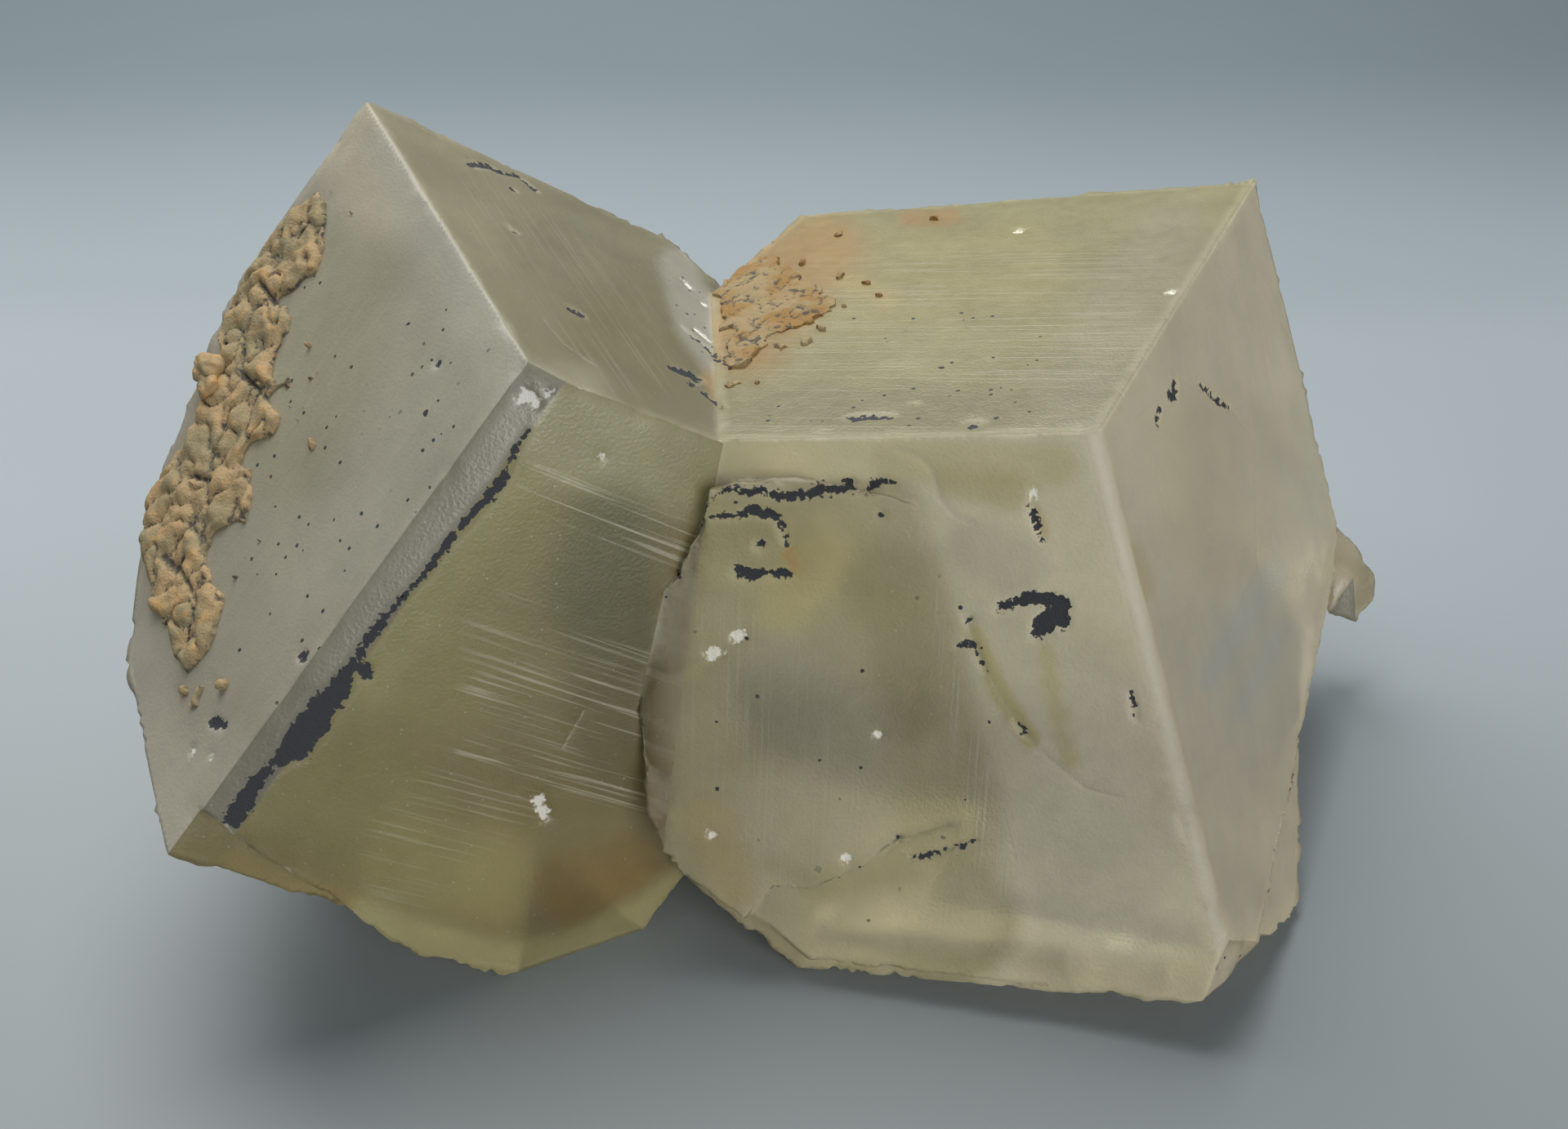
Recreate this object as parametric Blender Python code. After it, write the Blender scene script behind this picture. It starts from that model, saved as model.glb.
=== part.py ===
"""Calcite twin: two rhombohedral crystals grown into each other, with two ochre crusts.

Metres, +Z up. The twin lies on the flat cut where it was broken from its rock, and the origin
is the middle of its bounding box, at that cut. The twin is seen best from -Y.
"""

import math

import bmesh
import bpy
from mathutils import Matrix, Vector, noise

MM = 0.001

# The crystal law. Both crystals share the long axis, and each mirrors the other across a plane
# that holds it. The three edges at a crystal's polar corner are a third of a turn apart.
LONG_AXIS = Vector((0.1972, -0.5792, 0.7910)).normalized()
TWIN_NORMAL = Vector((0.9760, 0.0390, -0.2150))
EDGE_ALONG_AXIS = 0.4424
EDGE_OUTWARD = 0.8968
THIRD_TURN = math.radians(120)

# Polar corners, as they stand over the cut, before the whole is centred
LEFT_CORNER = Vector((-14.64, 88.44, 42.18)) * MM
RIGHT_CORNER = Vector((18.57, 87.37, 38.62)) * MM

# Edge lengths from the polar corner: to the back, towards the seam, and down
LEFT_SIZE = (31.9 * MM, 32.6 * MM, 40.2 * MM)
RIGHT_SIZE = (47.0 * MM, 35.6 * MM, 41.0 * MM)

# The soft bevels along the two edges that run down to the front
LEFT_BEVEL = (2.2 * MM, 0.8 * MM)
RIGHT_BEVEL = (0.9 * MM, 0.5 * MM)

# The raised sheet of the right front: where it starts, in millimetres from the corner, how it
# swells towards the seam, and how deep its broken lower ledge is at the seam's end
CHEEK_START = 12.0
CHEEK_SLOPE = 0.125
LEDGE_DEPTH = 0.9

# The height of the flat cut
CUT_LEVEL = 0.0

# Crusts sit clear of the crystals by the gap that separate meshes keep
CRUST_GAP = 0.3 * MM
CRUST_STEP = 0.85 * MM
CRUST_RIM = 0.25 * MM

# Each finish: colour, roughness
CALCITE = ((0.43, 0.40, 0.28), 0.34)
OCHRE = ((0.56, 0.31, 0.14), 0.85)
NOTCH_OCHRE = ((0.60, 0.30, 0.12), 0.85)


class Crystal:
    """A rhombohedron's directions and points, counted along its edges from the polar corner."""

    def __init__(self, corner, side):
        outward = TWIN_NORMAL - LONG_AXIS * TWIN_NORMAL.dot(LONG_AXIS)
        outward = outward.normalized() * side
        self.corner = corner
        self.seam = self.edge(outward, 0.0)
        self.back = self.edge(outward, THIRD_TURN * side)
        self.down = self.edge(outward, -THIRD_TURN * side)

    @staticmethod
    def edge(outward, turn):
        """One polar edge: the outward direction turned about the long axis, and tipped inwards."""
        turned = Matrix.Rotation(turn, 3, LONG_AXIS) @ outward
        return (turned * EDGE_OUTWARD - LONG_AXIS * EDGE_ALONG_AXIS).normalized()

    def at(self, back, seam, down):
        """The point so many millimetres along the three edges."""
        return self.corner + (self.back * back + self.seam * seam + self.down * down) * MM

    def outward(self, first, second):
        """The outward normal of the face that holds two of the edges."""
        normal = first.cross(second).normalized()
        third = self.back + self.seam + self.down
        return -normal if normal.dot(third) > 0 else normal


LEFT = Crystal(LEFT_CORNER, 1)
RIGHT = Crystal(RIGHT_CORNER, -1)
LEFT_FRONT = LEFT.outward(LEFT.seam, LEFT.down)
RIGHT_FRONT = RIGHT.outward(RIGHT.seam, RIGHT.down)


def make_material(name, finish):
    """A Principled finish from its colour and roughness."""
    colour, roughness = finish
    material = bpy.data.materials.new(name)
    material.use_nodes = True
    shader = material.node_tree.nodes["Principled BSDF"]
    shader.inputs["Base Color"].default_value = (*colour, 1.0)
    shader.inputs["Roughness"].default_value = roughness
    material.diffuse_color = (*colour, 1.0)
    return material


def make_object(name, bm, material=None):
    """An object from a bmesh, with its faces pointing out; without a material it is a guide."""
    bmesh.ops.recalc_face_normals(bm, faces=bm.faces)
    mesh = bpy.data.meshes.new(name)
    bm.to_mesh(mesh)
    bm.free()
    made = bpy.data.objects.new(name, mesh)
    bpy.context.scene.collection.objects.link(made)
    if material is None:
        made.hide_render = True
        made.display_type = "WIRE"
    else:
        mesh.materials.append(material)
    return made


def whole(bm):
    """Every vertex, edge and face of a bmesh."""
    return bm.verts[:] + bm.edges[:] + bm.faces[:]


def rhomb(crystal, size):
    """The whole rhombohedron of a crystal, before its corners are broken."""
    bm = bmesh.new()
    bmesh.ops.create_cube(bm, size=1.0)
    bmesh.ops.translate(bm, verts=bm.verts, vec=(0.5, 0.5, 0.5))
    back, seam, down = size
    frame = Matrix((crystal.back * back, crystal.seam * seam, crystal.down * down)).transposed()
    bmesh.ops.transform(bm, verts=bm.verts, matrix=frame.to_4x4())
    bmesh.ops.translate(bm, verts=bm.verts, vec=crystal.corner)
    bmesh.ops.recalc_face_normals(bm, faces=bm.faces)
    return bm


def break_off(bm, first, second, third):
    """Cut a convex solid by the plane of three points, and keep the side of its middle."""
    middle = sum((v.co for v in bm.verts), Vector()) / len(bm.verts)
    normal = (second - first).cross(third - first).normalized()
    if normal.dot(middle - first) > 0:
        normal.negate()
    bmesh.ops.bisect_plane(
        bm, geom=whole(bm), dist=1e-8, plane_co=first, plane_no=normal, clear_outer=True
    )
    bmesh.ops.holes_fill(bm, edges=bm.edges, sides=0)


def prism(corners, direction, rise, sink):
    """A closed prism on an outline, from rise above it to sink below it along a direction."""
    bm = bmesh.new()
    base = bm.faces.new([bm.verts.new(corner - direction * sink) for corner in corners])
    grown = bmesh.ops.extrude_face_region(bm, geom=[base], use_keep_orig=True)
    lifted = [item for item in grown["geom"] if isinstance(item, bmesh.types.BMVert)]
    bmesh.ops.translate(bm, verts=lifted, vec=direction * (rise + sink))
    return bm


def left_crystal():
    """The left crystal with its hidden breaks and its bevel, before its underside is undercut."""
    bm = rhomb(LEFT, LEFT_SIZE)
    away = Vector((0.30, 0.84, -0.45)) * 20 * MM
    for upper, lower in (((31.9, 15.0), (24.9, 29.6)), ((24.9, 29.6), (16.6, 35.2))):
        start = LEFT.at(upper[0], 0, upper[1])
        end = LEFT.at(lower[0], 0, lower[1])
        break_off(bm, start, end, start + away)
    # The back corner over the seam
    break_off(bm, LEFT.at(32.6, 25.3, 0), LEFT.at(26.9, 28.1, 0), LEFT.at(30.0, 29.5, 20))
    # The soft bevel between the front and the side
    on_front, on_side = (width / MM for width in LEFT_BEVEL)
    break_off(bm, LEFT.at(0, on_front, 0), LEFT.at(0, on_front, 30), LEFT.at(on_side, 0, 30))
    return make_object("left_crystal", bm)


def left_undercut():
    """What is missing under the left crystal, up to the step beside the hollow."""
    profile = ((-6.0, 36.6), (0.0, 37.2), (14.2, 38.6), (18.4, 40.4), (19.0, 48.0), (-6.0, 48.0))
    corners = [LEFT.at(-8, seam, down + 0.8) for seam, down in profile]
    rising = (LEFT.back * 17.1 - LEFT.down * 1.8).normalized()
    return make_object("left_undercut", prism(corners, rising, 60 * MM, 0.0))


def right_crystal():
    """The right crystal, with its sloping underside, chipped corner and bevel."""
    bm = rhomb(RIGHT, RIGHT_SIZE)
    # The back face, from the back corner over the top and down the side
    break_off(bm, RIGHT.at(41.8, 0, 0), RIGHT.at(40.3, 34.2, 0), RIGHT.at(43.8, 0, 30.1))
    # The underside rises to the back
    break_off(bm, RIGHT.at(0, 0, 38.7), RIGHT.at(0, 29, 37.8), RIGHT.at(43.8, 0, 30.6))
    # The chipped lower corner at the front
    break_off(bm, RIGHT.at(0, 0, 33.8), RIGHT.at(4.6, 0, 37.4), RIGHT.at(0, 2.4, 38.6))
    # The lower corner over the hollow between the crystals
    break_off(bm, RIGHT.at(0, 29.2, 37.8), RIGHT.at(0, 35.6, 31.0), RIGHT.at(30, 30, 37))
    on_front, on_side = (width / MM for width in RIGHT_BEVEL)
    break_off(bm, RIGHT.at(0, on_front, 0), RIGHT.at(0, on_front, 30), RIGHT.at(on_side, 0, 30))
    return make_object("right_crystal", bm)


def cheek_rise(seam):
    """How far the raised sheet stands out of the right front plane, in millimetres."""
    return max(0.0, (seam - CHEEK_START) * CHEEK_SLOPE)


def cheek():
    """The raised sheet of the right front, whose shoulder leans over the left crystal."""
    rim = (
        (11.0, 6.0), (12.4, 4.3), (16.0, 3.0), (20.0, 2.6), (24.5, 2.9), (26.3, 5.5), (28.5, 8.5),
        (30.4, 10.4), (31.9, 12.1), (33.4, 16.6), (34.8, 21.2), (35.4, 25.3), (35.0, 27.7),
        (34.0, 29.8), (31.2, 32.8), (29.2, 34.6), (27.8, 36.4), (22.2, 37.0), (11.0, 38.0),
    )
    corners = [RIGHT.at(0, seam, down) for seam, down in rim]
    bm = prism(corners, RIGHT_FRONT, 5 * MM, 4 * MM)
    far = 34.0
    crest = RIGHT.at(0, far, 15) + RIGHT_FRONT * cheek_rise(far) * MM
    break_off(bm, RIGHT.at(0, CHEEK_START, 0), RIGHT.at(0, CHEEK_START, 30), crest)
    # The shoulder's soft edge
    upper = RIGHT.at(0, 27.0, 8.5) + RIGHT_FRONT * cheek_rise(27.0) * MM
    lower = RIGHT.at(0, 33.9, 25.3) + RIGHT_FRONT * cheek_rise(33.9) * MM
    break_off(bm, upper, lower, RIGHT.at(0, 28.5, 8.5) + RIGHT_FRONT * 1.5 * MM)
    return make_object("cheek", bm)


def broken_lump(name, points):
    """A lump with flat broken faces: the hull of a few points."""
    bm = bmesh.new()
    for point in points:
        bm.verts.new(point)
    hull = bmesh.ops.convex_hull(bm, input=bm.verts)
    unused = {item for item in hull["geom_interior"] if isinstance(item, bmesh.types.BMVert)}
    bmesh.ops.delete(bm, geom=list(unused), context="VERTS")
    return make_object(name, bm)


def heel():
    """The lump of the right crystal's side that reaches the cut, behind the chipped corner."""
    side = (
        (2.8, 32.0), (4.3, 36.3), (8.0, 39.6), (11.2, 41.0), (14.2, 42.0), (15.8, 41.0),
        (17.2, 39.4), (24.6, 33.4), (14.0, 28.0),
    )
    inner = ((6.5, 37.0, 9.0), (9.5, 41.6, 12.0), (15.5, 43.4, 14.0), (19.5, 38.0, 13.0))
    deep = ((8.0, 36.0, 22.0), (13.0, 41.5, 24.0), (19.0, 36.0, 21.0), (13.0, 30.0, 20.0))
    points = [RIGHT.at(back, 0.15, down) for back, down in side]
    points += [RIGHT.at(back, seam, down) for back, down, seam in inner + deep]
    return broken_lump("heel", points)


def side_nub():
    """The small lump that stands out of the right crystal's side, low at the back."""
    spots = (
        (43.8, 0.5, 28.6), (43.4, -1.2, 30.8), (43.0, -2.3, 33.0), (42.0, -2.1, 34.9),
        (40.8, -0.6, 36.0), (39.5, 1.0, 34.5), (40.0, 1.5, 29.0), (44.5, 0.8, 33.0),
        (43.5, 1.5, 36.2), (40.6, -1.2, 32.0),
    )
    return broken_lump("side_nub", [RIGHT.at(*spot) for spot in spots])


def left_root():
    """The broken mass that fills the back of the notch under the left crystal."""
    low = ((-17, 104), (-9, 99), (2, 100), (9, 106), (9, 117), (0, 121), (-12, 118), (-18, 111))
    middle = ((-15, 103), (-2, 99), (7, 104), (7, 119), (-3, 123), (-13, 117))
    high = ((-9, 107), (0, 105), (3, 116), (-5, 119))
    points = [Vector((x, y, z)) * MM for z, ring in ((-2, low), (9, middle), (23, high))
              for x, y in ring]
    return broken_lump("left_root", points)


def right_root():
    """The broken mass under the right crystal, on the flat cut."""
    low = ((2, 101), (13, 95), (25, 92), (35, 95), (38, 104), (32, 112), (21, 118), (6, 119))
    middle = ((4, 101), (24, 94), (38, 97), (39, 106), (23, 119), (5, 121))
    high = ((8, 104), (30, 100), (33, 108), (14, 117))
    points = [Vector((x, y, z)) * MM for z, ring in ((-2, low), (7, middle), (16, high))
              for x, y in ring]
    return broken_lump("right_root", points)


def left_chip():
    """What is missing of the left front sheet near its lower left corner."""
    edge = ((-3.0, 33.0), (1.2, 33.5), (3.2, 34.6), (6.2, 35.6), (9.9, 36.9), (13.7, 38.5))
    outside = ((15.0, 44.0), (-3.0, 44.0))
    corners = [LEFT.at(0, seam, down) for seam, down in edge + outside]
    return make_object("left_chip", prism(corners, LEFT_FRONT, 2 * MM, 0.9 * MM))


def right_ledge():
    """What is missing of the raised sheet below its broken lower edge; it runs out to the right."""
    edge = ((11.4, 25.6), (14.1, 25.9), (19.2, 27.3), (22.4, 29.3), (26.0, 30.8), (28.3, 30.4))
    outside = ((31.4, 33.4), (30.0, 42.0), (9.0, 42.0))
    corners = [RIGHT.at(0, seam, down) for seam, down in edge + outside]
    bm = prism(corners, RIGHT_FRONT, 5 * MM, 1.5 * MM)
    far = 30.0
    deep = RIGHT.at(0, far, 33) + RIGHT_FRONT * (cheek_rise(far) - LEDGE_DEPTH) * MM
    break_off(bm, RIGHT.at(0, 9, 25), RIGHT.at(0, 9, 42), deep)
    return make_object("right_ledge", bm)


def floor_cutter():
    """Everything below the flat cut."""
    bm = bmesh.new()
    bmesh.ops.create_cube(bm, size=200 * MM)
    bmesh.ops.translate(bm, verts=bm.verts, vec=Vector((0, 100, -100)) * MM)
    bmesh.ops.translate(bm, verts=bm.verts, vec=(0, 0, CUT_LEVEL))
    return make_object("floor_cutter", bm)


def boolean(made, other, operation):
    """Join another solid to one, or cut it away, in the order of the calls."""
    modifier = made.modifiers.new(other.name, "BOOLEAN")
    modifier.operation = operation
    modifier.solver = "EXACT"
    modifier.object = other


def calcite_twin(material):
    """Both crystals as the one solid that they grew to."""
    bm = bmesh.new()
    first = left_crystal()
    bm.from_mesh(first.data)
    twin = make_object("calcite_twin", bm, material)
    bpy.data.objects.remove(first)
    parts = [right_crystal(), cheek(), heel(), left_root(), right_root(), side_nub()]
    boolean(twin, left_undercut(), "DIFFERENCE")
    for part in parts:
        boolean(twin, part, "UNION")
    for cutter in (left_chip(), right_ledge(), floor_cutter()):
        boolean(twin, cutter, "DIFFERENCE")
    return twin


def inside(point, outline):
    """Whether a flat point lies inside an outline."""
    hit = False
    for (x0, y0), (x1, y1) in zip(outline, outline[1:] + outline[:1]):
        if (y0 > point[1]) != (y1 > point[1]):
            hit ^= point[0] < x0 + (x1 - x0) * (point[1] - y0) / (y1 - y0)
    return hit


def from_rim(point, outline):
    """The distance from a flat point to an outline."""
    spot = Vector(point)
    best = math.inf
    for start, end in zip(outline, outline[1:] + outline[:1]):
        a = Vector(start)
        side = Vector(end) - a
        along = max(0.0, min(1.0, (spot - a).dot(side) / side.length_squared))
        best = min(best, (a + side * along - spot).length)
    return best


def crust(name, crystal, across, along, outline, height, material):
    """A lumpy crust on a crystal's face, inside an outline in millimetres along two edges."""
    low = [min(point[axis] for point in outline) for axis in (0, 1)]
    high = [max(point[axis] for point in outline) for axis in (0, 1)]
    steps = [max(2, round((high[axis] - low[axis]) * MM / CRUST_STEP)) for axis in (0, 1)]
    bm = bmesh.new()
    bmesh.ops.create_grid(bm, x_segments=steps[0], y_segments=steps[1], size=0.5)
    bmesh.ops.scale(bm, verts=bm.verts, vec=(high[0] - low[0], high[1] - low[1], 1))
    centre = ((high[0] + low[0]) / 2, (high[1] + low[1]) / 2, 0)
    bmesh.ops.translate(bm, verts=bm.verts, vec=centre)
    out = [f for f in bm.faces if not inside(f.calc_center_median().xy, outline)]
    bmesh.ops.delete(bm, geom=out, context="FACES")
    loose = [f for f in bm.faces if sum(len(e.link_faces) == 1 for e in f.edges) >= 3]
    bmesh.ops.delete(bm, geom=loose, context="FACES")
    for _ in range(2):
        rim = [v for v in bm.verts if v.is_boundary]
        bmesh.ops.smooth_vert(bm, verts=rim, factor=0.5, use_axis_x=True, use_axis_y=True)
    grown = bmesh.ops.extrude_face_region(bm, geom=bm.faces[:], use_keep_orig=True)
    upper = {item for item in grown["geom"] if isinstance(item, bmesh.types.BMVert)}
    normal = crystal.outward(across, along)
    for vertex in bm.verts:
        spot = vertex.co.copy()
        lift = CRUST_GAP
        if vertex in upper:
            lumps = 0.5 + 0.5 * noise.noise(spot * 0.55 + Vector((0, 0, 4.1)))
            grains = 0.5 + 0.5 * noise.noise(spot * 1.5)
            swell = min(1.0, from_rim(spot.xy, outline) / 1.4)
            lift += CRUST_RIM + height * swell * (0.25 + 0.75 * lumps * (0.6 + 0.8 * grains))
        flat = (across * spot.x + along * spot.y) * MM
        vertex.co = crystal.corner + flat + normal * lift
    return make_object(name, bm, material)


def side_crust(material):
    """The ochre crust down the outer margin of the left crystal's side."""
    outline = [
        (29.0, 5.6), (26.4, 8.0), (24.6, 10.4), (24.2, 13.4), (21.6, 15.4), (18.0, 17.0),
        (15.4, 21.0), (14.0, 23.4), (14.6, 26.4), (11.0, 27.6), (8.6, 29.6), (7.0, 31.8),
        (9.6, 33.2), (14.0, 32.8), (18.4, 32.4), (23.4, 29.2), (26.6, 23.6), (28.6, 21.0),
        (29.4, 18.0), (31.4, 14.6), (31.2, 9.0),
    ]
    return crust("side_crust", LEFT, LEFT.back, LEFT.down, outline, 1.15 * MM, material)


def notch_crust(material):
    """The orange crust on the right crystal's top, in the notch between the crystals."""
    outline = [
        (27.6, 11.6), (25.4, 11.4), (24.4, 15.0), (25.6, 19.4), (27.4, 22.6), (29.4, 26.4),
        (31.6, 29.8), (34.8, 30.2), (34.9, 26.8), (32.6, 22.4), (30.0, 17.0),
    ]
    return crust("notch_crust", RIGHT, RIGHT.seam, RIGHT.back, outline, 1.3 * MM, material)


def centre_on_cut(nodes):
    """Move everything so that the origin is the middle of the bounding box, at its bottom."""
    bpy.context.view_layer.update()
    graph = bpy.context.evaluated_depsgraph_get()
    points = []
    for node in nodes:
        shape = node.evaluated_get(graph).to_mesh()
        points += [vertex.co.copy() for vertex in shape.vertices]
    low = Vector(min(point[axis] for point in points) for axis in range(3))
    high = Vector(max(point[axis] for point in points) for axis in range(3))
    shift = Vector((-(low.x + high.x) / 2, -(low.y + high.y) / 2, -low.z))
    for made in bpy.context.scene.objects:
        made.data.transform(Matrix.Translation(shift))


def build():
    """The whole twin, in place of what the scene held."""
    for old in list(bpy.data.objects):
        bpy.data.objects.remove(old, do_unlink=True)
    nodes = [
        calcite_twin(make_material("calcite", CALCITE)),
        side_crust(make_material("ochre_crust", OCHRE)),
        notch_crust(make_material("orange_crust", NOTCH_OCHRE)),
    ]
    centre_on_cut(nodes)


build()
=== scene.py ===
"""The looks of a calcite twin: two frosted, see-through rhombohedral crystals grown together,
with black manganese marks, healed cracks, growth lines and lumpy ochre crusts.

Marks are placed by their pixels in the reference photograph, 1919 by 1382. A ray from the
camera through the pixel finds the place on the crystal, and the mark lies on the surface there.
"""
import math

import bmesh
import bpy
import numpy as np
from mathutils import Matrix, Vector, kdtree, noise
from mathutils.bvhtree import BVHTree


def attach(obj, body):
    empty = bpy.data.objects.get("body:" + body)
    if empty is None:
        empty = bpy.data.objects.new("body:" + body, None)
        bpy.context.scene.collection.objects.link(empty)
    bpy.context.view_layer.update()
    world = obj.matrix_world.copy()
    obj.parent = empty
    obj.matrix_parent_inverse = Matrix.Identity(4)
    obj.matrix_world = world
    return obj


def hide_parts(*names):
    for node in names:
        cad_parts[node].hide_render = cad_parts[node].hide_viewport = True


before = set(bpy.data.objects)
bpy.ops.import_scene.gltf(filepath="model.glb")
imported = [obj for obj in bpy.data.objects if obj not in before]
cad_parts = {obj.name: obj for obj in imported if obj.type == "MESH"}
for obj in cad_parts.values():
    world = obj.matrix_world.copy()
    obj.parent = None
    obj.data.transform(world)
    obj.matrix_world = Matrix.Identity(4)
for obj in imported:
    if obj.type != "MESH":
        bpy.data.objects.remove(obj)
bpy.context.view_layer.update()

MM = 0.001

# The photograph's camera: where it stands, how far it leans from straight down, its focal length.
PHOTO_WIDTH, PHOTO_HEIGHT = 1919, 1382
FOCAL_PIXELS = 2100.0
LEAN = math.radians(55.0)
EYE = Vector((-2.276, -102.879, 90.21)) * MM
AHEAD = Vector((0.0, math.sin(LEAN), -math.cos(LEAN)))
UPWARD = Vector((0.0, math.cos(LEAN), math.sin(LEAN)))

# The crystal faces that the photograph shows, by their outward normals.
FACES = {
    "left_side": (-0.545, -0.440, 0.714),
    "left_top": (0.540, 0.097, 0.836),
    "left_front": (0.426, -0.894, 0.139),
    "left_bevel": (0.198, -0.917, 0.347),
    "right_top": (-0.145, 0.069, 0.987),
    "right_front": (-0.259, -0.921, 0.290),
    "right_sheet": (-0.140, -0.933, 0.332),
    "right_side": (0.826, -0.385, 0.412),
    "right_bevel": (0.158, -0.898, 0.411),
}
FACE_TOLERANCE = math.cos(math.radians(6.5))
FACE_NAMES = [*FACES, "other"]

# Mesh sizes in mm: plain faces, hidden ones, worn edges and fine marks. Away from an edge or a
# mark the size grows by a share of the distance.
PLAIN_EDGE, HIDDEN_EDGE, WORN_EDGE, MARK_EDGE = 1.0, 1.35, 0.42, 0.24
SIZE_GROWTH = 0.45
FLAT_ANGLE, SHARP_ANGLE = math.radians(0.3), math.radians(25)

# Depths of the relief in mm, and how far from a mark or an edge each one fades out.
MANGANESE_DEPTH, MANGANESE_FADE = 0.128, 0.12
CRACK_DEPTH, CRACK_FADE = 0.06, 0.10
FLAKE_DEPTH, FLAKE_FADE = 0.12, 0.20
WORN_DEPTH, CHIP_DEPTH, EDGE_FADE = 0.02, 0.45, 0.35
TERRACE_HEIGHT, TERRACE_STEPS = 0.45, 4
CUT_MARGIN = 0.6  # mm above the flat cut, where the relief fades out


def ray(x, y):
    """The direction in which the camera sees a pixel."""
    across = (x - PHOTO_WIDTH / 2) / FOCAL_PIXELS
    down = (y - PHOTO_HEIGHT / 2) / FOCAL_PIXELS
    return (AHEAD + Vector((across, 0, 0)) - UPWARD * down).normalized()


def pixels(places):
    """The photograph's pixels for an array of places."""
    steps = places - np.array(EYE)
    depth = steps @ np.array(AHEAD)
    x = PHOTO_WIDTH / 2 + FOCAL_PIXELS * steps[:, 0] / depth
    y = PHOTO_HEIGHT / 2 - FOCAL_PIXELS * (steps @ np.array(UPWARD)) / depth
    return np.stack([x, y], axis=1)


def solid_copy(node):
    """A CAD node's mesh as a bmesh, its loose triangles joined and flat faces made whole."""
    shape = bmesh.new()
    shape.from_mesh(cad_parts[node].data)
    bmesh.ops.remove_doubles(shape, verts=shape.verts, dist=0.001 * MM)
    bmesh.ops.dissolve_limit(shape, angle_limit=FLAT_ANGLE, verts=shape.verts, edges=shape.edges)
    return shape


crystal_solid = solid_copy("calcite_twin")
crystal_surface = BVHTree.FromBMesh(crystal_solid)


def on_crystal(x, y):
    """The place on the crystal that the photograph shows at a pixel, or None beside it."""
    return crystal_surface.ray_cast(EYE, ray(x, y))[0]


# Strokes are lists of (x, y, half width) in pixels of the photograph.
MANGANESE = {
    "line down the left crystal's bevel": [
        [(645, 530, 2.5), (630, 555, 4), (612, 590, 7), (600, 605, 8), (575, 635, 6),
         (548, 665, 5), (520, 702, 5), (495, 730, 4), (478, 748, 5), (455, 780, 6),
         (432, 812, 7), (415, 845, 14), (400, 862, 17), (380, 890, 20), (362, 915, 20),
         (350, 925, 12), (325, 945, 6), (308, 965, 9), (298, 985, 12), (286, 1002, 12)],
        [(432, 812, 6), (447, 822, 9)],
    ],
    "spots on the left side": [[(370, 803, 7)], [(535, 445, 5)], [(262, 884, 7), (274, 888, 5)]],
    "arc under the right crystal's edge": [
        [(875, 603, 2), (900, 600, 4), (930, 603, 5), (960, 608, 6), (985, 607, 5),
         (1000, 600, 5), (1025, 597, 8), (1040, 592, 7)],
        [(862, 632, 3), (880, 632, 3.5), (905, 630, 4), (922, 624, 7), (940, 630, 5),
         (952, 633, 4), (958, 645, 4), (962, 662, 3)],
        [(878, 603, 2), (862, 622, 3), (850, 650, 2)],
        [(1062, 597, 5), (1080, 588, 4), (1095, 591, 3)],
        [(1078, 630, 5)],
    ],
    "arrow on the right front": [
        [(930, 668, 6)], [(905, 700, 9), (918, 702, 9), (935, 702, 4), (965, 702, 4)],
    ],
    "hook on the right front": [
        [(1262, 622, 4), (1265, 632, 4), (1272, 650, 3), (1277, 662, 2)],
    ],
    "splash on the right front": [
        [(1222, 745, 5), (1240, 740, 7), (1262, 732, 8), (1285, 735, 11), (1300, 740, 10),
         (1290, 755, 15), (1275, 768, 13), (1268, 777, 7)],
        [(1300, 762, 9)], [(1187, 758, 6)],
        [(1172, 790, 2.5), (1182, 788, 5), (1192, 790, 2.5)],
    ],
    "bits along the cracks": [
        [(1195, 800, 2), (1205, 820, 2)], [(1245, 885, 2.5), (1255, 897, 2.5)],
        [(1385, 850, 2.5), (1390, 880, 2.5)], [(1100, 1027, 3.5)],
        [(1115, 1050, 1.5), (1140, 1047, 2.5), (1165, 1038, 1.5), (1195, 1030, 1.5)],
        [(828, 700, 2.5), (825, 712, 2)], [(812, 728, 2)],
    ],
    "spots on the right side": [
        [(1440, 470, 7), (1438, 482, 8), (1432, 485, 5)], [(1420, 500, 3.5), (1417, 515, 4.5)],
        [(1468, 468, 2.5), (1480, 480, 2.5), (1492, 492, 3.5), (1505, 498, 3.5)],
    ],
    "rings on the right top": [
        [(1045, 512, 7), (1062, 510, 5), (1090, 510, 3)], [(1190, 520, 8), (1200, 518, 4)],
        [(1120, 495, 2.5)],
    ],
    "spots on the left top": [
        [(575, 200, 6), (597, 202, 6), (612, 210, 3.5), (635, 215, 2.5), (655, 232, 4)],
        [(628, 232, 3)], [(630, 283, 3.5), (622, 278, 2.5)], [(700, 378, 7), (712, 385, 5)],
        [(822, 450, 4), (838, 456, 9), (855, 462, 5), (845, 470, 4)],
        [(835, 400, 2.5), (860, 420, 2), (880, 440, 2.5)], [(860, 480, 2.5), (885, 500, 2)],
    ],
}
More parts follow.
